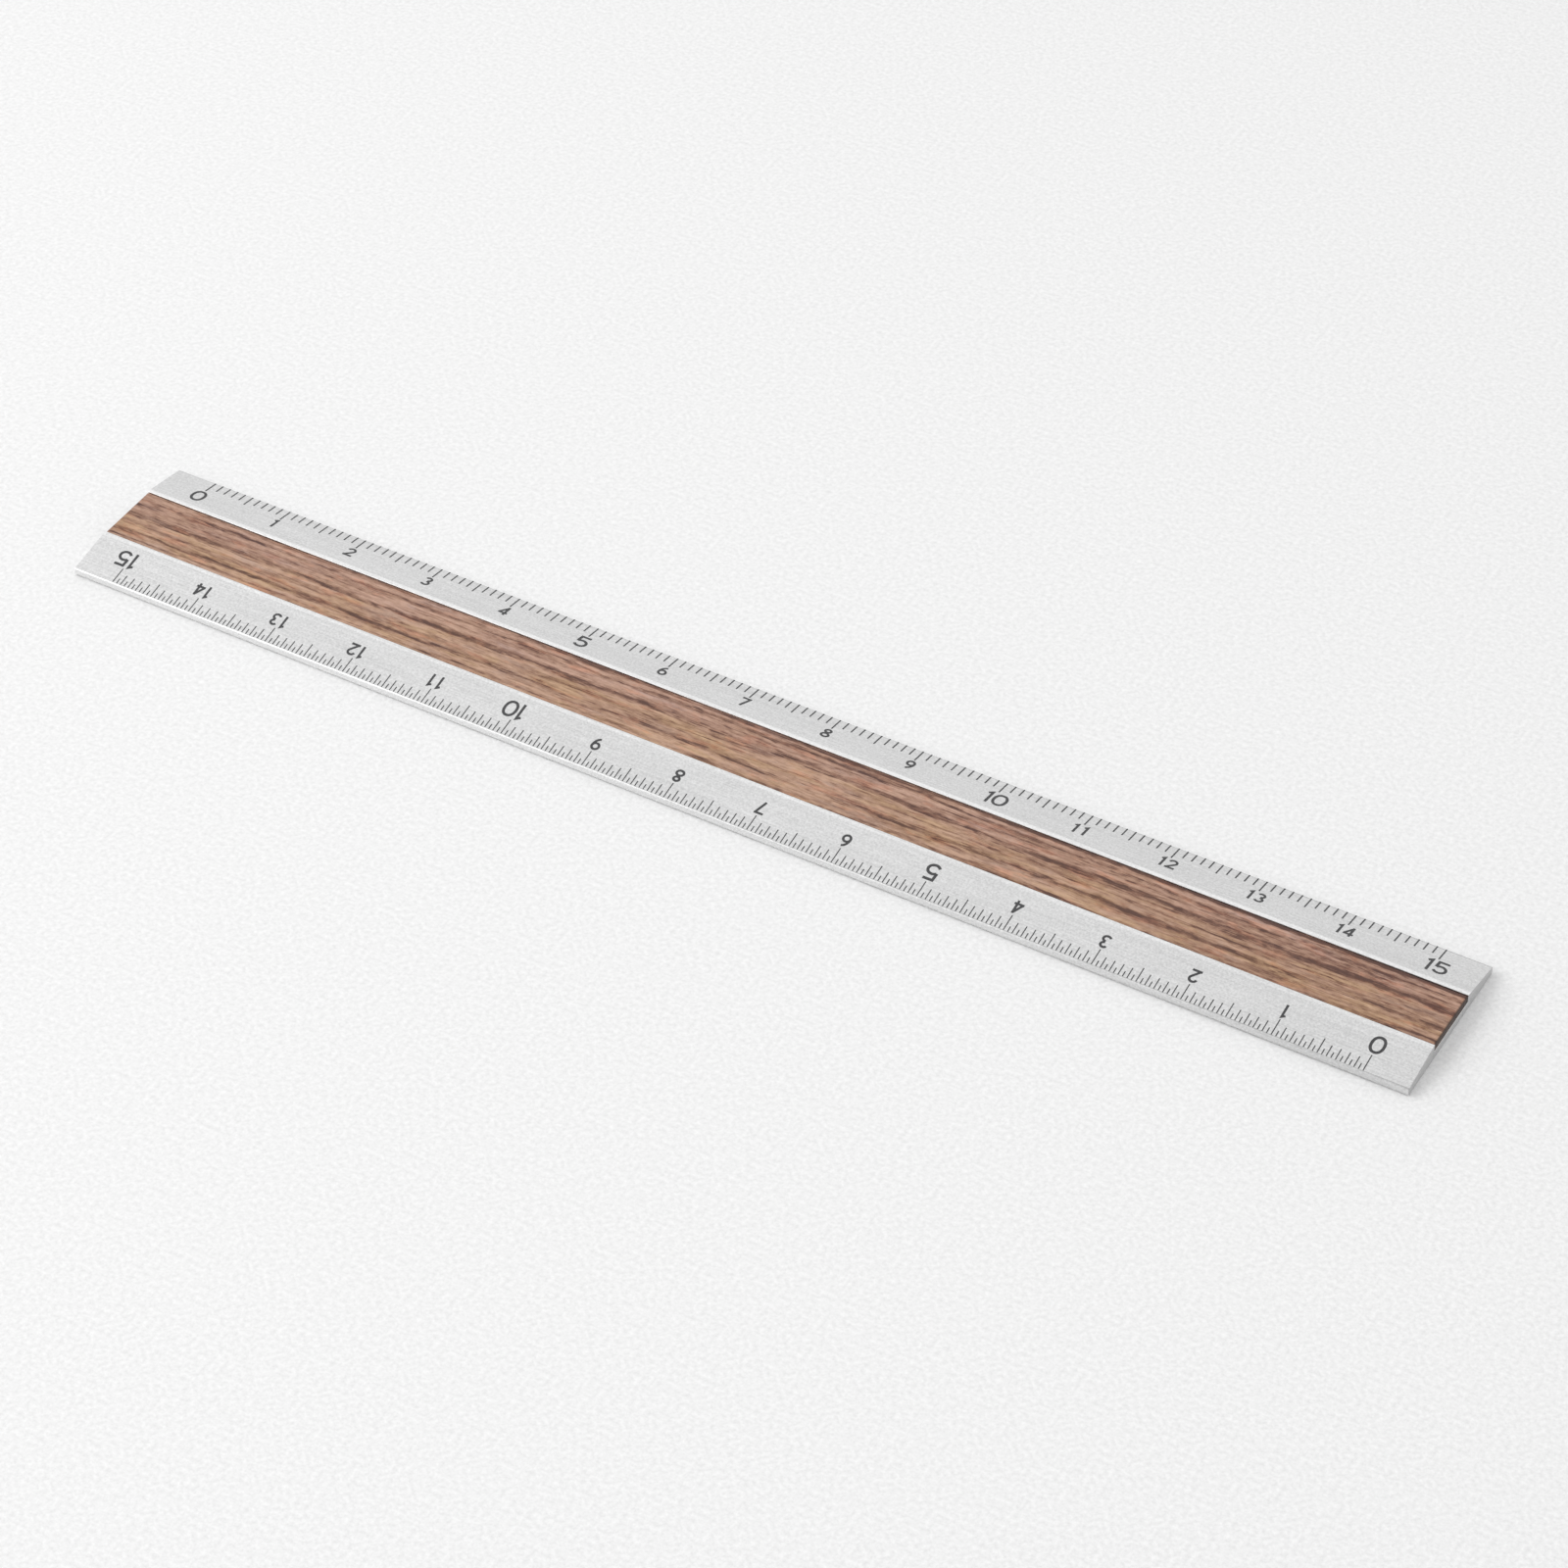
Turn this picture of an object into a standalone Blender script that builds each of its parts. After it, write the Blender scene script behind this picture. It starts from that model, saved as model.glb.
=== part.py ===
"""Satin aluminium ruler with a walnut inlay and two 15 cm scales.

Three real pieces: the extruded aluminium body, the walnut strip laid into its groove,
and the adhesive film that bonds the strip to the groove's floor.

Metres, +Z up. The origin is at the centre of the flat underside. +X runs along the
ruler, towards the high numbers of the back scale. +Y points to the back scale's edge.
"""
import math

import bmesh
import bpy
from mathutils import Vector

MM = 0.001

# Driving dimensions: the body
LENGTH = 160.0 * MM
WIDTH = 20.0 * MM
EDGE_HEIGHT = 0.95 * MM      # thickness along the two ruling edges
CREST_HEIGHT = 2.0 * MM      # thickness at the lips that flank the wood
GROOVE_WIDTH = 8.0 * MM
GROOVE_DEPTH = 1.0 * MM
LIP_WIDTH = 0.25 * MM        # flat land between the groove and the sloping flank

# Driving dimensions: the wood and its adhesive film
WOOD_SIDE_GAP = 0.05 * MM
WOOD_THICKNESS = 0.8 * MM
WOOD_END_INSET = 0.05 * MM
FILM_THICKNESS = 0.1 * MM
FILM_SIDE_MARGIN = 0.25 * MM
FILM_END_MARGIN = 0.5 * MM
BOND_GAP = 0.03 * MM         # clearance between stacked faces

# Edge treatment
RULING_EDGE_RADIUS = 0.27 * MM
BOTTOM_EDGE_RADIUS = 0.35 * MM
LIP_RADIUS = 0.05 * MM
GROOVE_CORNER_RADIUS = 0.1 * MM
END_DEBURR = 0.08 * MM
WOOD_EASED_EDGE = 0.2 * MM
ARC_STEPS = 8

# Heights worked out from the driving dimensions
GROOVE_FLOOR = CREST_HEIGHT - GROOVE_DEPTH
FILM_BOTTOM = GROOVE_FLOOR + BOND_GAP
WOOD_BOTTOM = FILM_BOTTOM + FILM_THICKNESS + BOND_GAP

# Linear colours of the three materials
ANODISED_ALUMINIUM = (0.76, 0.77, 0.78, 1.0)
WALNUT = (0.37, 0.225, 0.155, 1.0)
AMBER_ADHESIVE = (0.36, 0.30, 0.20, 1.0)


def clear_scene():
    """Remove every object that is already in the scene."""
    for old in list(bpy.data.objects):
        bpy.data.objects.remove(old, do_unlink=True)


def make_material(name, colour, roughness, metallic):
    """Return a Principled BSDF material with one colour."""
    material = bpy.data.materials.new(name)
    material.use_nodes = True
    shader = material.node_tree.nodes["Principled BSDF"]
    shader.inputs["Base Color"].default_value = colour
    shader.inputs["Roughness"].default_value = roughness
    shader.inputs["Metallic"].default_value = metallic
    material.diffuse_color = colour
    return material


def fillet(before, corner, after, radius):
    """Return the points of an arc that rounds one corner of a flat outline."""
    corner = Vector(corner)
    to_before = (Vector(before) - corner).normalized()
    to_after = (Vector(after) - corner).normalized()
    half_angle = to_before.angle(to_after) / 2
    start = corner + to_before * (radius / math.tan(half_angle))
    bisector = (to_before + to_after).normalized()
    centre = corner + bisector * (radius / math.sin(half_angle))
    first = start - centre
    sweep = math.pi - 2 * half_angle
    turn = to_before.cross(to_after)
    direction = 1.0 if turn > 0 else -1.0
    points = []
    for step in range(ARC_STEPS + 1):
        angle = direction * sweep * step / ARC_STEPS
        cos_a = math.cos(angle)
        sin_a = math.sin(angle)
        spoke = Vector((first.x * cos_a + first.y * sin_a, first.y * cos_a - first.x * sin_a))
        points.append(centre + spoke)
    return points


def rounded_outline(corners):
    """Round each (y, z, radius) corner of a closed outline. A radius of 0 stays sharp."""
    count = len(corners)
    outline = []
    for index, (y, z, radius) in enumerate(corners):
        before = corners[index - 1][:2]
        after = corners[(index + 1) % count][:2]
        if radius > 0:
            outline.extend(fillet(before, (y, z), after, radius))
        else:
            outline.append(Vector((y, z)))
    return outline


def extrude_outline(name, outline, length, material, end_bevel, end_segments):
    """Extrude a Y-Z outline along X, centred on X = 0, and ease the edges of both ends."""
    mesh = bpy.data.meshes.new(name)
    bm = bmesh.new()
    ring = [bm.verts.new((-length / 2, point.x, point.y)) for point in outline]
    cap = bm.faces.new(ring)
    extruded = bmesh.ops.extrude_face_region(bm, geom=[cap])
    far_verts = [item for item in extruded["geom"] if isinstance(item, bmesh.types.BMVert)]
    bmesh.ops.translate(bm, verts=far_verts, vec=(length, 0, 0))
    bmesh.ops.recalc_face_normals(bm, faces=bm.faces)
    bm.to_mesh(mesh)
    bm.free()
    part = bpy.data.objects.new(name, mesh)
    bpy.context.collection.objects.link(part)
    mesh.materials.append(material)
    bevel = part.modifiers.new("eased_ends", "BEVEL")
    bevel.width = end_bevel
    bevel.segments = end_segments
    bevel.limit_method = "ANGLE"
    bevel.angle_limit = math.radians(60)
    mesh.shade_smooth()
    mesh.set_sharp_from_angle(angle=math.radians(35))
    return part


def make_body(material):
    """The aluminium extrusion: flat below, two sloping flanks, a groove between two lips."""
    half_width = WIDTH / 2
    groove = GROOVE_WIDTH / 2
    lip = groove + LIP_WIDTH
    right_half = [
        (half_width, 0.0, BOTTOM_EDGE_RADIUS),
        (half_width, EDGE_HEIGHT, RULING_EDGE_RADIUS),
        (lip, CREST_HEIGHT, 0.0),
        (groove, CREST_HEIGHT, LIP_RADIUS),
        (groove, GROOVE_FLOOR, GROOVE_CORNER_RADIUS),
    ]
    left_half = [(-y, z, radius) for y, z, radius in reversed(right_half)]
    outline = rounded_outline(right_half + left_half)
    return extrude_outline("ruler_body", outline, LENGTH, material, END_DEBURR, 2)


def make_wood_strip(material):
    """The walnut strip, with eased top edges, bottom face on the adhesive film."""
    half_width = GROOVE_WIDTH / 2 - WOOD_SIDE_GAP
    top = WOOD_BOTTOM + WOOD_THICKNESS
    outline = rounded_outline([
        (half_width, WOOD_BOTTOM, 0.0),
        (half_width, top, WOOD_EASED_EDGE),
        (-half_width, top, WOOD_EASED_EDGE),
        (-half_width, WOOD_BOTTOM, 0.0),
    ])
    length = LENGTH - 2 * WOOD_END_INSET
    return extrude_outline("wood_inlay", outline, length, material, WOOD_EASED_EDGE, 3)


def make_adhesive_film(material):
    """The thin bonding film between the groove's floor and the wood."""
    half_width = GROOVE_WIDTH / 2 - FILM_SIDE_MARGIN
    top = FILM_BOTTOM + FILM_THICKNESS
    outline = rounded_outline([
        (half_width, FILM_BOTTOM, 0.0),
        (half_width, top, 0.0),
        (-half_width, top, 0.0),
        (-half_width, FILM_BOTTOM, 0.0),
    ])
    length = LENGTH - 2 * FILM_END_MARGIN
    return extrude_outline("adhesive_film", outline, length, material, FILM_THICKNESS / 5, 1)


def main():
    clear_scene()
    root = bpy.data.objects.new("ruler", None)
    root.empty_display_size = 10 * MM
    bpy.context.collection.objects.link(root)
    parts = [
        make_body(make_material("anodised_aluminium", ANODISED_ALUMINIUM, 0.38, 1.0)),
        make_wood_strip(make_material("walnut", WALNUT, 0.55, 0.0)),
        make_adhesive_film(make_material("amber_adhesive", AMBER_ADHESIVE, 0.5, 0.0)),
    ]
    for part in parts:
        part.parent = root


main()
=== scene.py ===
import math

import bmesh
import bpy
from mathutils import Matrix, Vector
from mathutils.geometry import delaunay_2d_cdt


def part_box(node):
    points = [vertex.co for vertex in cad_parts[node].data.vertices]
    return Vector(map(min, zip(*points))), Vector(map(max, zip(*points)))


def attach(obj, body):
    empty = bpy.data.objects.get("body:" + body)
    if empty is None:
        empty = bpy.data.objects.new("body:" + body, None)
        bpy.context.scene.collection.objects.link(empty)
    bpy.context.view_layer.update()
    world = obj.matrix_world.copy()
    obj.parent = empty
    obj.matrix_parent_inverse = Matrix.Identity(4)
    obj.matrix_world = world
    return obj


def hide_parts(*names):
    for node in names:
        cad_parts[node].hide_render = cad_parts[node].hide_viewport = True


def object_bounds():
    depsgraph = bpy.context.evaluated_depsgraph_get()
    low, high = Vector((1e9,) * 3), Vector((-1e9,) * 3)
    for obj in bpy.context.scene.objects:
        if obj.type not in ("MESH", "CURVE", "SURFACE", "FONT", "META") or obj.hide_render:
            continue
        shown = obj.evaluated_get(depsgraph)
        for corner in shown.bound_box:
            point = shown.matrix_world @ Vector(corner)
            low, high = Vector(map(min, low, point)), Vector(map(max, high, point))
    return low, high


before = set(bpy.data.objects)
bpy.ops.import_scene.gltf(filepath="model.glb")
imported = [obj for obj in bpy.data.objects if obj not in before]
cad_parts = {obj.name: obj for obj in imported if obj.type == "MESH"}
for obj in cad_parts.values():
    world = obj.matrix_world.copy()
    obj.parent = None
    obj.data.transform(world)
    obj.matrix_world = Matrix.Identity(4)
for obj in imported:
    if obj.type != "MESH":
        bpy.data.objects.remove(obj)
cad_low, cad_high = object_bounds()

MM = 0.001

# The two printed scales
SCALE_CENTIMETRES = 15
INK_THICKNESS = 0.012 * MM
INK_SINK = 0.003 * MM
PRINT_SHIFT = 0.06 * MM           # how far both scales sit off centre, towards the back edge
BACK_TICK_WIDTH = 0.158 * MM
FRONT_TICK_WIDTH = 0.115 * MM
TICK_START = 0.16 * MM            # first ink, measured inwards from the ruling edge
HALF_TICK_END = 0.85 * MM
MM_TICK_END = 1.55 * MM
FIVE_TICK_END = 2.0 * MM
CM_TICK_END = 2.2 * MM

# The numerals, measured inwards from the ruling edge
NUMERAL_TOP = 2.43 * MM
SMALL_NUMERAL = 1.70 * MM
LARGE_NUMERAL = 2.20 * MM
SMALL_PEN = 0.275 * MM
LARGE_PEN = 0.32 * MM
TENS_SHIFT = -0.46 * MM           # the stem of the 1 in a two-digit number
SMALL_UNITS_SHIFT = 0.62 * MM
LARGE_UNITS_SHIFT = 0.82 * MM

# The wood strip
WOOD_EASING = 0.2 * MM            # rounding of the edges of its upper face
WOOD_EASING_STEPS = 5

# Where the slope of a flank is read, measured inwards from the ruling edge
FLANK_OUTER = 1.0 * MM
FLANK_SPAN = 4.0 * MM

# Joining the pen strokes of a digit into one flat shape
INSIDE_ONLY = 1                   # what delaunay_2d_cdt returns: triangles inside the strokes
MERGE_DISTANCE = 1e-5

# The values that most of a noise lies between, and of a mix of two noises
NOISE_RANGE = (0.3, 0.7)
GRAIN_RANGE = (0.36, 0.64)

# Aluminium. Tones are reflectances, and pairs run from low to high unless a comment says otherwise.
FLANK_TONE = (0.65, 0.875)
CLOUD_TONE = (0.985, 1.015)       # slow variation, as a factor
END_TONE = (0.56, 0.70)
LIP_HIGHLIGHT = (0.09, 0.18)           # painted highlight added along the groove: at its front side, at its back side
LIP_HIGHLIGHT_FADE = (0.5 * MM, 0.68 * MM)  # where the lips' painted highlight ends, measured outwards from the wood
EDGE_PAINTED_LIGHT = (-0.14, 0.07)         # painted shade and highlight added on the ruling edges: shade on their rounding, highlight on their faces
EDGE_PAINTED_SHADE = (0.0, -0.13)          # painted shade added on the ruling edges: left of the middle, at the right end
SATIN_ROUGHNESS = (0.45, 0.55)
EDGE_ROUGHNESS = 0.42
END_ROUGHNESS = 0.55

# Ink, bonding film and table, in linear colour
INK_DARK = (0.032, 0.032, 0.034, 1)
INK_PALE = (0.070, 0.070, 0.073, 1)
FILM_DARK = (0.30, 0.24, 0.16, 1)
FILM_PALE = (0.42, 0.35, 0.25, 1)
PAPER_TONE = (0.81, 0.975)
PAPER_ROUGHNESS = 0.8
PAPER_RELIEF = 0.10 * MM

# Walnut, in linear colour. The hues multiply the shade.
WALNUT_SHADES = [
    (0.00, (0.560, 0.355, 0.248)),
    (0.28, (0.445, 0.268, 0.182)),
    (0.52, (0.338, 0.190, 0.122)),
    (0.76, (0.205, 0.098, 0.060)),
    (1.00, (0.100, 0.042, 0.027)),
]
ROSY_HUE = (0.99, 0.98, 1.07, 1)
REDDISH_HUE = (1.10, 0.94, 0.87, 1)
GOLDEN_HUE = (1.0, 1.01, 0.89, 1)
GREYISH_HUE = (0.94, 0.98, 1.06, 1)
END_GRAIN_COLOUR = (0.040, 0.026, 0.021, 1)

# Dark growth lines: place at the left end, at the right end, bow and half width in mm,
# then strength at the left and right ends, and a seed for the ragged outline
GROWTH_LINES = [
    (0.05, 0.85, 0.35, 0.62, (1.1, 1.1), 5.1),
    (2.65, 2.70, 0.0, 0.42, (0.85, 0.75), 1.7),
    (-2.60, -1.65, 0.15, 0.46, (0.85, 0.95), 9.4),
    (-3.65, -3.55, 0.0, 0.30, (0.6, 0.6), 13.2),
    (1.65, 2.05, 0.0, 0.22, (0.2, 0.5), 17.9),
    (-1.2, -0.4, 0.1, 0.22, (0.3, 0.5), 23.3),
]
# A dark line along the back edge, in the same columns: partly dark grain, partly painted shade where the
# eased edge turns away from the light towards the groove wall
BACK_EDGE_SHADE_LINE = (3.66, 3.66, 0.0, 0.42, (0.35, 1.5), 31.7)

# Table and light, in metres and watts
TABLE_HALF_SIDE = 3.0
TABLE_GAP = 0.02 * MM             # keeps the table just clear of the underside
WINDOW_DIRECTION = (-0.70, -0.42, 0.58)
WINDOW_DISTANCE = 1.15
WINDOW_SIZE = 0.70
WINDOW_POWER = 5.4
SURROUND_STRENGTH = (0.66, 1.0)   # on the dim side, on the bright side
SURROUND_BRIGHT_SIDE = (-1.0, 0.2, -0.3)

# Camera, with angles in degrees and the lens in millimetres
CAMERA_TARGET = Vector((4.29, -0.85, 0.0)) * MM
CAMERA_DISTANCE = 535.07 * MM
CAMERA_AZIMUTH = 30.13
CAMERA_ELEVATION = 42.0
CAMERA_ROLL = -0.131
CAMERA_LENS = 117.69

body_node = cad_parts["ruler_body"]
body_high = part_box("ruler_body")[1]
wood_low, wood_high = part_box("wood_inlay")


# ---------------------------------------------------------------- mesh helpers

def add_object(name, data):
    """Link a new object to the scene."""
    piece = bpy.data.objects.new(name, data)
    bpy.context.scene.collection.objects.link(piece)
    return piece


def mesh_object(name, bm):
    """Turn a bmesh into an object and free it."""
    mesh = bpy.data.meshes.new(name)
    bmesh.ops.recalc_face_normals(bm, faces=bm.faces)
    bm.to_mesh(mesh)
    bm.free()
    return add_object(name, mesh)


# ------------------------------------------------------------- shader helpers

class Shader:
    """A material whose Principled BSDF is fed by procedural nodes."""

    def __init__(self, name):
        self.material = bpy.data.materials.new(name)
        self.material.use_nodes = True
        self.tree = self.material.node_tree
        self.surface = self.tree.nodes["Principled BSDF"]
        self.position = self.tree.nodes.new("ShaderNodeTexCoord").outputs["Object"]

    def plug(self, socket, value):
        """Link a socket to another socket, or set it to a constant."""
        if isinstance(value, bpy.types.NodeSocket):
            self.tree.links.new(value, socket)
        else:
            socket.default_value = value

    def math(self, operation, first, second=0.0, third=0.0):
        """The result of one Math node, fed with up to three values."""
        node = self.tree.nodes.new("ShaderNodeMath")
        node.operation = operation
        for socket, value in zip(node.inputs, (first, second, third)):
            self.plug(socket, value)
        return node.outputs[0]

    def stretched(self, scale, offset=(0.0, 0.0, 0.0)):
        """The object position in noise cells, with its own number of cells per metre along each axis."""
        node = self.tree.nodes.new("ShaderNodeMapping")
        self.plug(node.inputs["Vector"], self.position)
        node.inputs["Scale"].default_value = scale
        node.inputs["Location"].default_value = offset
        return node.outputs[0]

    def noise(self, vector, detail=3.0, roughness=0.5):
        """Fractal noise, with about one lump to each unit of the vector."""
        node = self.tree.nodes.new("ShaderNodeTexNoise")
        self.plug(node.inputs["Vector"], vector)
        node.inputs["Scale"].default_value = 1.0
        node.inputs["Detail"].default_value = detail
        node.inputs["Roughness"].default_value = roughness
        return node.outputs["Fac"]

    def remap(self, value, low, high, new_low, new_high, smooth=False):
        """Carry a value from one range over to another, and hold it at the new range's ends."""
        node = self.tree.nodes.new("ShaderNodeMapRange")
        node.interpolation_type = "SMOOTHSTEP" if smooth else "LINEAR"
        for name, number in (("Value", value), ("From Min", low), ("From Max", high),
                             ("To Min", new_low), ("To Max", new_high)):
            self.plug(node.inputs[name], number)
        return node.outputs["Result"]

    def mix(self, amount, first, second, blend="MIX"):
        """Mix two colours."""
        node = self.tree.nodes.new("ShaderNodeMix")
        node.data_type = "RGBA"
        node.blend_type = blend
        self.plug(node.inputs["Factor"], amount)
        for socket, value in ((node.inputs[6], first), (node.inputs[7], second)):
            self.plug(socket, value)
        return node.outputs[2]

    def blend(self, amount, first, second):
        """Mix two plain numbers."""
        node = self.tree.nodes.new("ShaderNodeMix")
        node.data_type = "FLOAT"
        for socket, value in zip(node.inputs[:1] + node.inputs[2:4], (amount, first, second)):
            self.plug(socket, value)
        return node.outputs[0]

    def grey(self, value):
        """A neutral colour from one number."""
        node = self.tree.nodes.new("ShaderNodeCombineColor")
        for socket in node.inputs:
            self.plug(socket, value)
        return node.outputs[0]

    def ramp(self, value, stops):
        """A colour that runs through (place, linear colour) stops."""
        node = self.tree.nodes.new("ShaderNodeValToRGB")
        self.plug(node.inputs[0], value)
        elements = node.color_ramp.elements
        while len(elements) < len(stops):
            elements.new(0.5)
        for element, (place, colour) in zip(elements, stops):
            element.position = place
            element.color = (*colour, 1)
        return node.outputs[0]

    def axis(self, name):
        """One coordinate of the object position, in metres."""
        node = self.tree.nodes.new("ShaderNodeSeparateXYZ")
        self.plug(node.inputs[0], self.position)
        return node.outputs[name]

    def facing(self, name):
        """How much the surface faces along one axis, from -1 to 1."""
        geometry = self.tree.nodes.new("ShaderNodeNewGeometry")
        node = self.tree.nodes.new("ShaderNodeSeparateXYZ")
        self.plug(node.inputs[0], geometry.outputs["True Normal"])
        return node.outputs[name]

    def bump(self, height, distance, strength=1.0):
        """Give the surface a fine relief, as deep as the distance in metres."""
        node = self.tree.nodes.new("ShaderNodeBump")
        node.inputs["Strength"].default_value = strength
        node.inputs["Distance"].default_value = distance
        self.plug(node.inputs["Height"], height)
        self.plug(self.surface.inputs["Normal"], node.outputs[0])

    def set(self, **values):
        """Set the Principled BSDF's inputs, with underscores for spaces."""
        for name, value in values.items():
            self.plug(self.surface.inputs[name.replace("_", " ")], value)


# ------------------------------------------------------------------ materials

def aluminium_material():
    """Satin anodised aluminium: fine grain, drawn lines, grey sawn ends, with a painted highlight along the
    lips and painted highlight and shade on the ruling edges.
    """
    shader = Shader("anodised_aluminium")
    satin = shader.noise(shader.stretched((4200, 4200, 4200)), 3.0, 0.6)
    drawn = shader.noise(shader.stretched((90, 9000, 9000)), 3.0, 0.6)
    sawn = shader.noise(shader.stretched((9000, 900, 22000)), 3.0, 0.6)
    clouds = shader.noise(shader.stretched((60, 240, 240)), 2.0, 0.5)
    is_end = shader.remap(shader.math("ABSOLUTE", shader.facing("X")), 0.5, 0.9, 0.0, 1.0)
    sideways = shader.math("ABSOLUTE", shader.facing("Y"))
    is_edge = shader.remap(sideways, 0.20, 0.26, 0.0, 1.0)
    # Painted light on the ruling edges: shade on the rounding, a highlight on the faces, and painted shade
    # that grows towards the right end
    edge_shade_and_highlight = shader.remap(sideways, 0.60, 0.98, *EDGE_PAINTED_LIGHT)
    edge_shade_to_right = shader.remap(shader.axis("X"), -0.25 * wood_high.x, wood_high.x, *EDGE_PAINTED_SHADE)
    painted_edge_light = shader.math("MULTIPLY", is_edge, shader.math("ADD", edge_shade_and_highlight, edge_shade_to_right))
    from_middle = shader.math("ABSOLUTE", shader.axis("Y"))
    # A painted highlight along the lips of the groove, brighter at the back lip
    lip_inner, lip_outer = [wood_high.y + distance for distance in LIP_HIGHLIGHT_FADE]
    lip = shader.remap(from_middle, lip_inner, lip_outer, 1.0, 0.0)
    is_lip = shader.math("MULTIPLY", lip, shader.remap(shader.facing("Z"), 0.5, 0.9, 0.0, 1.0))
    grain = shader.math("ADD", shader.math("MULTIPLY", drawn, 0.4), shader.math("MULTIPLY", satin, 0.6))
    tone = shader.remap(grain, *GRAIN_RANGE, *FLANK_TONE)
    tone = shader.math("MULTIPLY", tone, shader.remap(clouds, *NOISE_RANGE, *CLOUD_TONE))
    painted_lip_highlight = shader.remap(shader.axis("Y"), wood_low.y, wood_high.y, *LIP_HIGHLIGHT)
    tone = shader.math("MULTIPLY_ADD", is_lip, painted_lip_highlight, tone)
    tone = shader.math("ADD", tone, painted_edge_light)
    end_tone = shader.remap(sawn, 0.35, 0.65, *END_TONE)
    colour = shader.grey(shader.blend(is_end, tone, end_tone))
    height = shader.blend(is_end, grain, shader.math("MULTIPLY", sawn, 3.0))
    satin_roughness = shader.remap(grain, *GRAIN_RANGE, *SATIN_ROUGHNESS)
    side_roughness = shader.blend(is_edge, satin_roughness, EDGE_ROUGHNESS)
    roughness = shader.blend(is_end, side_roughness, END_ROUGHNESS)
    shader.set(Base_Color=colour, Metallic=1.0, Roughness=roughness)
    shader.bump(height, 0.004 * MM, 0.5)
    return shader.material


def ink_material():
    """Thin matt print: nearly black, a little uneven in density."""
    shader = Shader("scale_ink")
    density = shader.noise(shader.stretched((5000, 5000, 5000)), 2.0, 0.6)
    tone = shader.remap(density, *NOISE_RANGE, 0.0, 1.0)
    shader.set(Base_Color=shader.mix(tone, INK_DARK, INK_PALE),
               Roughness=shader.remap(density, *NOISE_RANGE, 0.5, 0.65))
    shader.bump(density, 0.002 * MM, 0.4)
    return shader.material


def film_material():
    """Dull amber bonding film. Only its cut ends show."""
    shader = Shader("bonding_film")
    cloud = shader.noise(shader.stretched((900, 900, 900)), 3.0, 0.6)
    shader.set(Base_Color=shader.mix(cloud, FILM_DARK, FILM_PALE),
               Roughness=shader.remap(cloud, *NOISE_RANGE, 0.45, 0.6))
    return shader.material


def table_material():
    """White embossed paper."""
    shader = Shader("white_paper")
    grain = shader.noise(shader.stretched((2000, 2000, 2000)), 4.0, 0.65)
    tone = shader.remap(grain, *NOISE_RANGE, *PAPER_TONE)
    shader.set(Base_Color=shader.grey(tone), Roughness=PAPER_ROUGHNESS)
    shader.bump(grain, PAPER_RELIEF, 0.35)
    return shader.material


def streak(shader, across, left, right, bow, half_width, strength, seed):
    """How strongly a dark line shows, from 0 up: a growth line, or the line along the back edge that is
    partly painted shade. Its places at both ends and its width are in mm.
    """
    share = shader.math("DIVIDE", shader.axis("X"), wood_high.x)
    middle = (left + right) / 2
    line = shader.math("MULTIPLY_ADD", share, (right - left) / 2 * MM, (middle + bow) * MM)
    bend = shader.math("MULTIPLY", shader.math("MULTIPLY", share, share), -bow * MM)
    line = shader.math("ADD", line, bend)
    away = shader.math("ABSOLUTE", shader.math("SUBTRACT", across, line))
    ragged = shader.noise(shader.stretched((330, 2600, 0), (seed, seed, 0)), 4.0, 0.65)
    width = shader.remap(ragged, *NOISE_RANGE, 0.35 * half_width * MM, 1.65 * half_width * MM)
    fall = shader.remap(shader.math("DIVIDE", away, width), 0.1, 1.0, 1.0, 0.0, smooth=True)
    presence = shader.noise(shader.stretched((170, 300, 0), (seed * 3, 0, 0)), 4.0, 0.65)
    amount = shader.remap(presence, 0.34, 0.62, 0.72, 1.10)
    fade = shader.remap(share, -1.0, 1.0, strength[0], strength[1])
    return shader.math("MULTIPLY", shader.math("MULTIPLY", fall, amount), fade)


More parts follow.
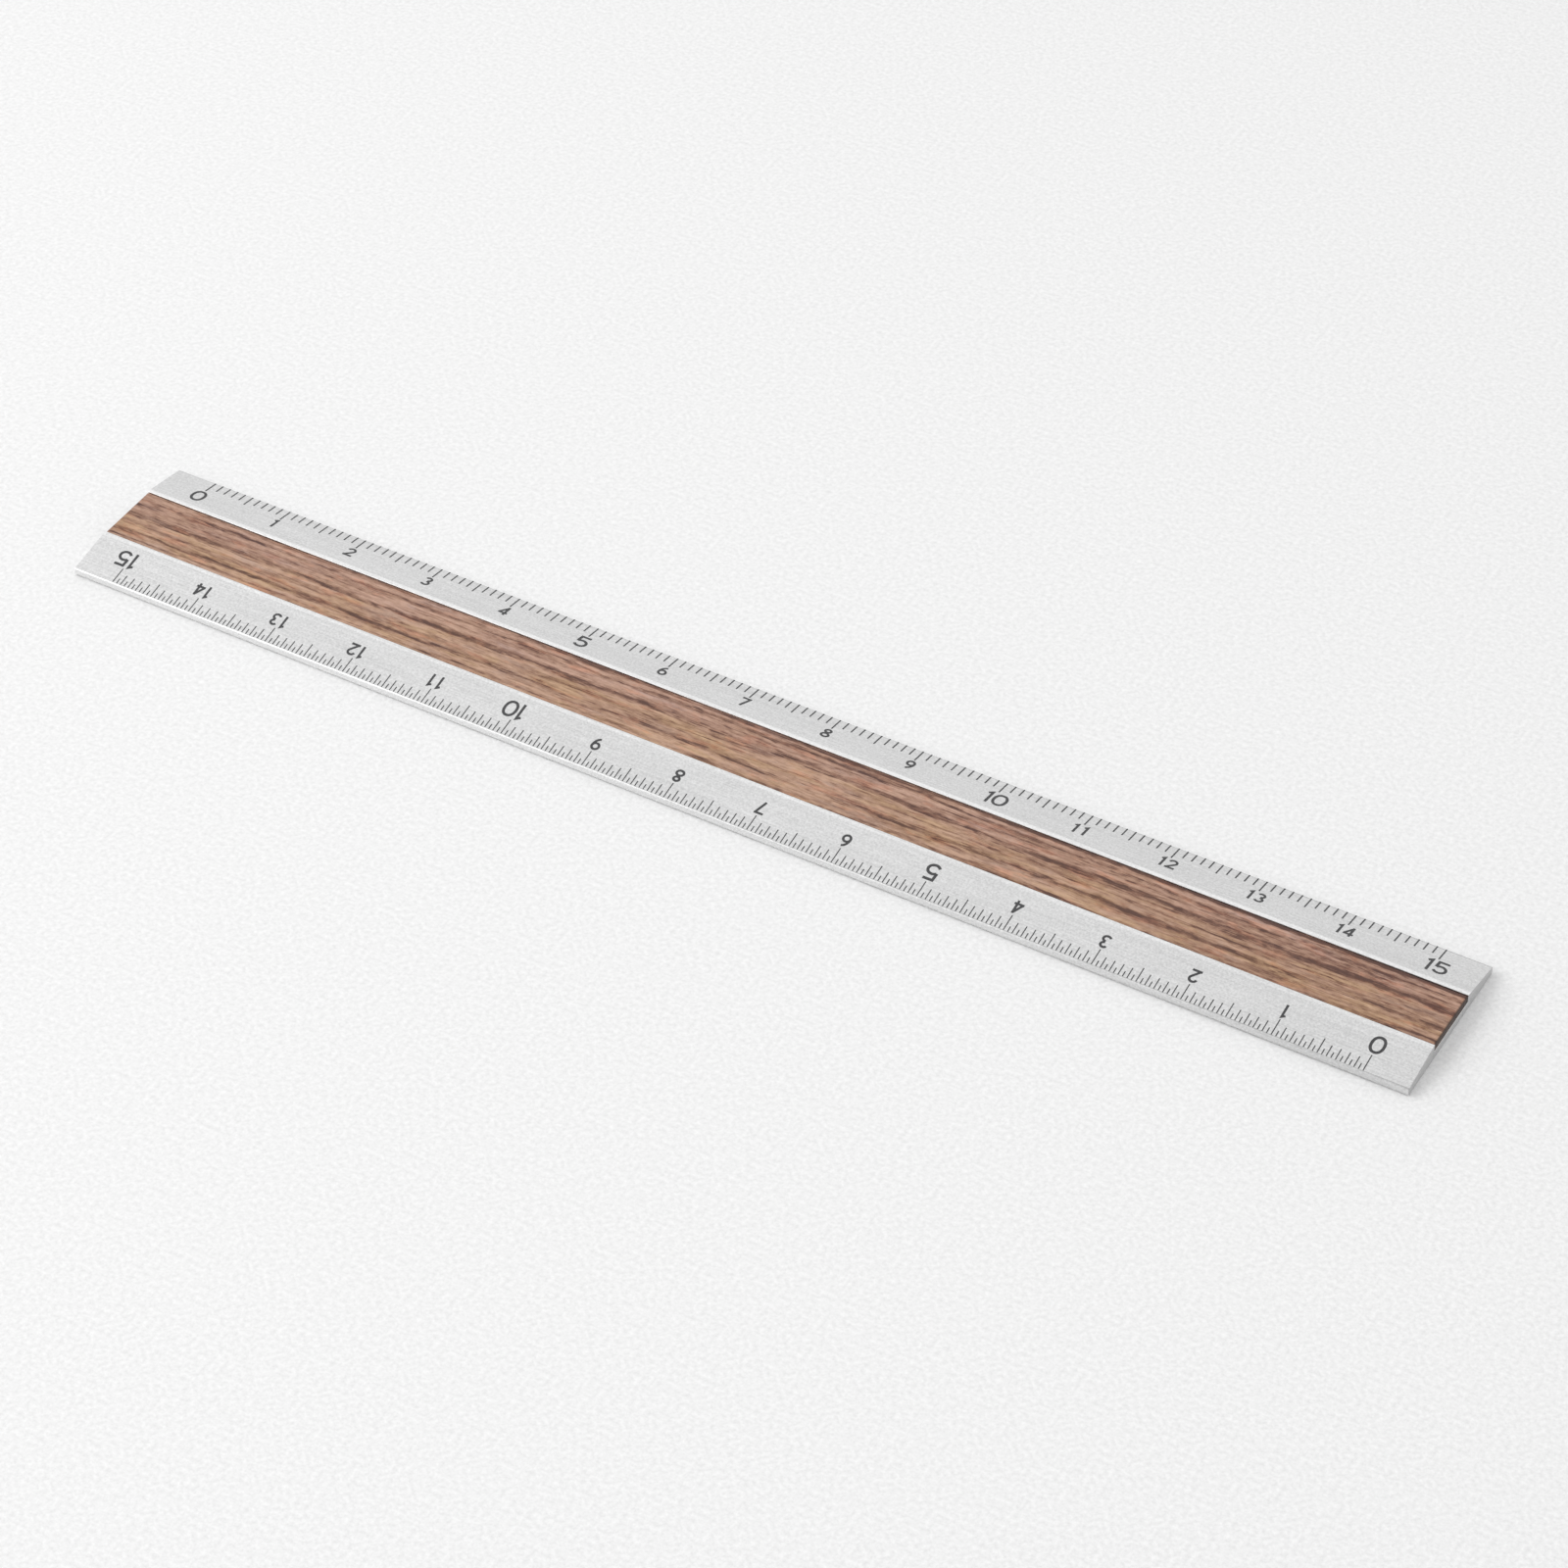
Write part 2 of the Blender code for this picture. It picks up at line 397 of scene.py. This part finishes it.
def walnut_material():
    """Oiled walnut: straight grain, dark growth lines, flecks and short open pores, and a dark line along
    the back edge that is partly painted shade.
    """
    shader = Shader("walnut")
    wander = shader.noise(shader.stretched((26, 60, 60)), 3.0, 0.55)
    ripple = shader.noise(shader.stretched((230, 420, 420), (6.0, 3.0, 0.0)), 3.0, 0.6)
    sway = shader.math("ADD", shader.remap(wander, *NOISE_RANGE, -0.35 * MM, 0.35 * MM),
                       shader.remap(ripple, *NOISE_RANGE, -0.20 * MM, 0.20 * MM))
    across = shader.math("ADD", shader.axis("Y"), sway)
    lines = [streak(shader, across, *line) for line in GROWTH_LINES]
    growth = lines[0]
    for line in lines[1:]:
        growth = shader.math("MAXIMUM", growth, line)
    # Partly dark grain, partly painted shade along the back edge of the wood
    edge = streak(shader, shader.axis("Y"), *BACK_EDGE_SHADE_LINE)
    bands = shader.noise(shader.stretched((75, 1150, 1150), (2.0, 5.0, 0.0)), 4.0, 0.62)
    veins = shader.noise(shader.stretched((260, 3800, 3800), (4.0, 2.0, 0.0)), 3.0, 0.6)
    fibre = shader.noise(shader.stretched((330, 9500, 9500)), 4.0, 0.7)
    flecks = shader.noise(shader.stretched((330, 3400, 3400), (9.0, 1.0, 0.0)), 2.0, 0.5)
    mottle = shader.noise(shader.stretched((950, 2700, 2700), (1.0, 8.0, 0.0)), 3.0, 0.65)
    glow = shader.noise(shader.stretched((240, 950, 950), (5.0, 5.0, 0.0)), 4.0, 0.65)
    tawny = shader.noise(shader.stretched((150, 700, 700), (2.0, 9.0, 0.0)), 4.0, 0.65)
    pores = shader.noise(shader.stretched((700, 11000, 11000), (3.0, 7.0, 0.0)), 2.0, 0.5)
    vein = shader.remap(veins, 0.50, 0.68, 0.0, 1.0, smooth=True)
    fleck = shader.remap(flecks, 0.57, 0.70, 0.0, 1.0, smooth=True)
    pore = shader.remap(pores, 0.58, 0.68, 0.0, 1.0, smooth=True)
    shade = shader.remap(bands, 0.33, 0.67, -0.04, 0.52)
    shade = shader.math("MULTIPLY_ADD", growth, 0.42, shade)
    shade = shader.math("MULTIPLY_ADD", vein, shader.math("MULTIPLY_ADD", growth, 0.22, 0.20), shade)
    shade = shader.math("MULTIPLY_ADD", fleck, shader.math("MULTIPLY_ADD", growth, 0.32, 0.26), shade)
    shade = shader.math("MULTIPLY_ADD", pore, shader.math("MULTIPLY_ADD", growth, 0.20, 0.14), shade)
    shade = shader.math("ADD", shade, shader.remap(fibre, *NOISE_RANGE, -0.14, 0.14))
    shade = shader.math("ADD", shade, shader.remap(mottle, *NOISE_RANGE, -0.22, 0.22))
    darker_end = shader.remap(shader.axis("X"), 0.2 * wood_high.x, wood_high.x, 0.0, 0.16)
    shade = shader.math("ADD", shade, darker_end)
    # Darken the back edge: dark grain and painted shade
    shade = shader.math("MULTIPLY_ADD", edge, 0.62, shade)
    base = shader.ramp(shade, WALNUT_SHADES)
    rosy = shader.remap(across, -0.2 * MM, 1.2 * MM, 0.0, 1.0, smooth=True)
    base = shader.mix(shader.math("MULTIPLY", rosy, 0.8), base, ROSY_HUE, "MULTIPLY")
    reddish = shader.remap(glow, 0.52, 0.66, 0.0, 1.0, smooth=True)
    base = shader.mix(reddish, base, REDDISH_HUE, "MULTIPLY")
    golden = shader.remap(tawny, 0.48, 0.62, 0.0, 1.0, smooth=True)
    golden = shader.math("MULTIPLY", golden, shader.remap(rosy, 0.0, 1.0, 1.0, 0.3))
    base = shader.mix(golden, base, GOLDEN_HUE, "MULTIPLY")
    greyish = shader.remap(tawny, 0.46, 0.36, 0.0, 1.0, smooth=True)
    base = shader.mix(greyish, base, GREYISH_HUE, "MULTIPLY")
    end_grain = shader.remap(shader.math("ABSOLUTE", shader.facing("X")), 0.3, 0.9, 0.0, 0.92)
    base = shader.mix(end_grain, base, END_GRAIN_COLOUR)
    relief = shader.math("SUBTRACT", shader.math("MULTIPLY", fibre, 0.5), pore)
    shader.set(Base_Color=base, Roughness=shader.remap(fibre, *NOISE_RANGE, 0.5, 0.66))
    shader.bump(relief, 0.02 * MM, 0.6)
    return shader.material


# ------------------------------------------------------------- the wood strip

def build_wood(material):
    """The walnut strip with softly eased edges."""
    bm = bmesh.new()
    size = wood_high - wood_low
    centre = (wood_high + wood_low) / 2
    bmesh.ops.create_cube(bm, size=1.0)
    for vert in bm.verts:
        vert.co = Vector((vert.co.x * size.x, vert.co.y * size.y, vert.co.z * size.z)) + centre
    top_edges = [e for e in bm.edges if all(v.co.z > centre.z for v in e.verts)]
    bmesh.ops.bevel(bm, geom=top_edges, offset=WOOD_EASING, segments=WOOD_EASING_STEPS, profile=0.5,
                    affect="EDGES")
    strip = mesh_object("walnut_strip", bm)
    strip.data.materials.append(material)
    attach(strip, "root")
    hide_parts("wood_inlay")
    return strip


# ---------------------------------------------------------- numerals and ticks

def arc(cx, cy, rx, ry, start, end, steps=20):
    """Points of an elliptical arc, angles in degrees, anticlockwise when end > start."""
    angles = [math.radians(start + (end - start) * i / steps) for i in range(steps + 1)]
    return [(cx + rx * math.cos(a), cy + ry * math.sin(a)) for a in angles]


def oval(cx, cy, rx, ry, squareness=2.0, steps=40):
    """Points of a closed oval. A squareness of 2 is an ellipse, and more is boxier."""
    points = []
    for i in range(steps):
        angle = 2 * math.pi * i / steps
        c, s = math.cos(angle), math.sin(angle)
        power = 2.0 / squareness
        points.append((cx + rx * math.copysign(abs(c) ** power, c),
                       cy + ry * math.copysign(abs(s) ** power, s)))
    return points


def digit_paths(digit, p):
    """Centre lines of one digit drawn with pen radius p: (points, closed). Height 1, x = 0 at its middle."""
    w = 0.32                      # half the width of most digits
    top, low = 1 - p, p
    six = [(oval(0, 0.32, w - p, 0.32 - p), True),
           (arc(w * 0.55, 0.32, w * 1.55 - p, 0.68 - p, 180, 98), False)]
    paths = {
        "0": [(oval(0, 0.5, 0.38 - p, 0.5 - p, 2.25), True)],
        "1": [([(-0.17, 0.80), (0.02, 0.94), (0.02, 0)], False)],
        "2": [(arc(0, 0.70, w - p, 0.30 - p, 170, -38) + [(p - w + 0.02, low)], False),
              ([(-w, low), (w, low)], False)],
        "3": [(arc(0, 0.735, w - 0.03 - p, 0.265 - p, 155, -90), False),
              (arc(0, 0.28, w - p, 0.28 - p, 90, -155), False)],
        "4": [([(0.13, 0), (0.13, 1)], False), ([(0.13, 0.95), (p - w, 0.27)], False),
              ([(-w, 0.25), (w, 0.25)], False)],
        "5": [([(-0.24, top), (0.28, top)], False), ([(-0.22, 1), (-0.25, 0.50)], False),
              (arc(-0.005, 0.335, 0.365 - p, 0.335 - p, 138, -152), False)],
        "6": six,
        "7": [([(-w, top), (w - 0.02, top)], False), ([(w - p - 0.02, top), (-0.09, 0)], False)],
        "8": [(oval(0, 0.275, w - p, 0.275 - p), True), (oval(0, 0.755, w - 0.045 - p, 0.245 - p), True)],
        "9": [([(-x, 1 - y) for x, y in points], closed) for points, closed in six],
    }
    return paths[digit]


def ribbon_faces(points, closed, p):
    """Quads that cover a path drawn with a flat pen of radius p."""
    path = [Vector(point) for point in points]
    count = len(path)
    sides = []
    for i, here in enumerate(path):
        before = path[i - 1] if closed or i > 0 else None
        after = path[(i + 1) % count] if closed or i < count - 1 else None
        first = (here - before).normalized() if before is not None else None
        second = (after - here).normalized() if after is not None else None
        along = ((first or second) + (second or first)).normalized()
        normal = Vector((-along.y, along.x))
        stretch = 1.0 if first is None or second is None else max(0.5, first.dot(along))
        sides.append((here + normal * p / stretch, here - normal * p / stretch))
    links = range(count if closed else count - 1)
    return [(sides[i][0], sides[i][1], sides[(i + 1) % count][1], sides[(i + 1) % count][0]) for i in links]


def digit_outline(digit, pen_radius):
    """Triangles of one digit as a single flat shape: (points, triangles)."""
    points, faces = [], []
    for path, closed in digit_paths(digit, pen_radius):
        for quad in ribbon_faces(path, closed, pen_radius):
            faces.append(list(range(len(points), len(points) + 4)))
            points.extend(quad)
    flat, _, triangles, _, _, sources = delaunay_2d_cdt(points, [], faces, INSIDE_ONLY, MERGE_DISTANCE)
    return flat, [triangle for triangle, source in zip(triangles, sources) if source]


def add_prism(bm, flat, polygons, place):
    """Extrude flat polygons by the ink's thickness and put them on the flank."""
    verts = [bm.verts.new(place @ Vector((p[0], p[1], -INK_SINK))) for p in flat]
    faces = [bm.faces.new([verts[i] for i in polygon]) for polygon in polygons]
    bmesh.ops.delete(bm, geom=[v for v in verts if not v.link_faces], context="VERTS")
    result = bmesh.ops.extrude_face_region(bm, geom=faces)
    raised = [item for item in result["geom"] if isinstance(item, bmesh.types.BMVert)]
    normal = (place.to_3x3() @ Vector((0, 0, 1))).normalized()
    bmesh.ops.translate(bm, verts=raised, vec=normal * (INK_THICKNESS + INK_SINK))


def flank_place(side):
    """Matrix from a scale's own axes to the frame: x along the scale, y out to the edge, z off the flank."""
    def height(y):
        """How high the body's upper face is at y."""
        return body_node.ray_cast(Vector((0, y, 1)), Vector((0, 0, -1)))[1].z

    outer = body_high.y - FLANK_OUTER
    inner = outer - FLANK_SPAN
    slope = math.atan2(height(inner) - height(outer), outer - inner)
    edge = Vector((0, body_high.y, height(outer) - math.tan(slope) * (body_high.y - outer)))
    half_scale = SCALE_CENTIMETRES * 10 * MM / 2
    tilt = Matrix.Rotation(-slope, 4, "X")
    back = Matrix.Translation(edge) @ tilt @ Matrix.Translation((-half_scale, side * PRINT_SHIFT, 0))
    return back if side > 0 else Matrix.Rotation(math.pi, 4, "Z") @ back


def tick_end(index, per_mm):
    """How far in from the edge a graduation reaches."""
    if index % per_mm:
        return HALF_TICK_END
    millimetre = index // per_mm
    if millimetre % 10 == 0:
        return CM_TICK_END
    return FIVE_TICK_END if millimetre % 5 == 0 else MM_TICK_END


def build_ticks(name, side, per_mm, width, material):
    """All graduations of one scale, each a thin closed bar of ink."""
    bm = bmesh.new()
    place = flank_place(side)
    for index in range(SCALE_CENTIMETRES * 10 * per_mm + 1):
        x = index * MM / per_mm
        left, right = x - width / 2, x + width / 2
        low, high = -tick_end(index, per_mm), -TICK_START
        corners = [(left, low), (right, low), (right, high), (left, high)]
        add_prism(bm, corners, [(0, 1, 2, 3)], place)
    return finish_ink(mesh_object(name, bm), material)


def build_numerals(name, side, material):
    """The centimetre numbers of one scale. 0, 5, 10 and 15 are larger."""
    bm = bmesh.new()
    place = flank_place(side)
    outlines = {}
    for number in range(SCALE_CENTIMETRES + 1):
        large = number % 5 == 0
        height = LARGE_NUMERAL if large else SMALL_NUMERAL
        pen = (LARGE_PEN if large else SMALL_PEN) / height / 2
        text = str(number)
        units_shift = LARGE_UNITS_SHIFT if large else SMALL_UNITS_SHIFT
        shifts = [0.0] if len(text) == 1 else [TENS_SHIFT, units_shift]
        for digit, shift in zip(text, shifts):
            key = (digit, large)
            if key not in outlines:
                outlines[key] = digit_outline(digit, pen)
            flat, triangles = outlines[key]
            origin = Vector((number * 10 * MM + shift, -NUMERAL_TOP - height, 0))
            spot = place @ Matrix.Translation(origin)
            add_prism(bm, [(p[0] * height, p[1] * height) for p in flat], triangles, spot)
    return finish_ink(mesh_object(name, bm), material)


def finish_ink(piece, material):
    """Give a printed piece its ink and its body."""
    piece.data.materials.append(material)
    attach(piece, "root")
    return piece


# ----------------------------------------------------------- floor, light, view

def build_floor():
    """The table that the ruler lies on."""
    bm = bmesh.new()
    bmesh.ops.create_grid(bm, x_segments=1, y_segments=1, size=TABLE_HALF_SIDE)
    floor = mesh_object("table", bm)
    floor.location.z = cad_low.z - TABLE_GAP
    floor.data.materials.append(table_material())


def add_area_light(name, direction, distance, size, energy):
    """A square soft light that looks at the object from the given direction."""
    light = bpy.data.lights.new(name, "AREA")
    light.shape = "SQUARE"
    light.size = size
    light.energy = energy
    lamp = add_object(name, light)
    away = Vector(direction).normalized()
    lamp.location = away * distance
    lamp.rotation_euler = away.to_track_quat("Z", "Y").to_euler()
    lamp.visible_camera = False


def set_world(low, high, bright_side):
    """A white surround that is a little brighter on one side."""
    world = bpy.data.worlds.new("studio")
    world.use_nodes = True
    nodes, links = world.node_tree.nodes, world.node_tree.links
    coordinates = nodes.new("ShaderNodeTexCoord")
    towards = nodes.new("ShaderNodeVectorMath")
    towards.operation = "DOT_PRODUCT"
    towards.inputs[1].default_value = Vector(bright_side).normalized()
    strength = nodes.new("ShaderNodeMapRange")
    strength.inputs["From Min"].default_value = -1.0
    strength.inputs["To Min"].default_value = low
    strength.inputs["To Max"].default_value = high
    background = nodes["Background"]
    background.inputs["Color"].default_value = (1.0, 1.0, 1.0, 1)
    links.new(coordinates.outputs["Generated"], towards.inputs[0])
    links.new(towards.outputs["Value"], strength.inputs["Value"])
    links.new(strength.outputs["Result"], background.inputs["Strength"])
    bpy.context.scene.world = world


def set_camera():
    """A long lens that looks down on the ruler from the front right."""
    camera = bpy.data.cameras.new("camera")
    camera.lens = CAMERA_LENS
    camera.clip_start = 0.01
    camera.clip_end = 20.0
    holder = add_object("camera", camera)
    azimuth, elevation = math.radians(CAMERA_AZIMUTH), math.radians(CAMERA_ELEVATION)
    back = Vector((math.sin(azimuth) * math.cos(elevation),
                   -math.cos(azimuth) * math.cos(elevation), math.sin(elevation)))
    turn = (-back).to_track_quat("-Z", "Y").to_matrix().to_4x4()
    roll = Matrix.Rotation(math.radians(CAMERA_ROLL), 4, "Z")
    holder.matrix_world = Matrix.Translation(CAMERA_TARGET + back * CAMERA_DISTANCE) @ turn @ roll
    bpy.context.scene.camera = holder


aluminium = aluminium_material()
ink = ink_material()
body_node.material_slots[0].material = aluminium
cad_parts["adhesive_film"].material_slots[0].material = film_material()
build_wood(walnut_material())
build_ticks("back_scale_graduations", 1, 1, BACK_TICK_WIDTH, ink)
build_ticks("front_scale_graduations", -1, 2, FRONT_TICK_WIDTH, ink)
build_numerals("back_scale_numerals", 1, ink)
build_numerals("front_scale_numerals", -1, ink)

build_floor()
add_area_light("window", WINDOW_DIRECTION, WINDOW_DISTANCE, WINDOW_SIZE, WINDOW_POWER)
set_world(*SURROUND_STRENGTH, SURROUND_BRIGHT_SIDE)
set_camera()
bpy.context.scene.view_settings.view_transform = "Standard"
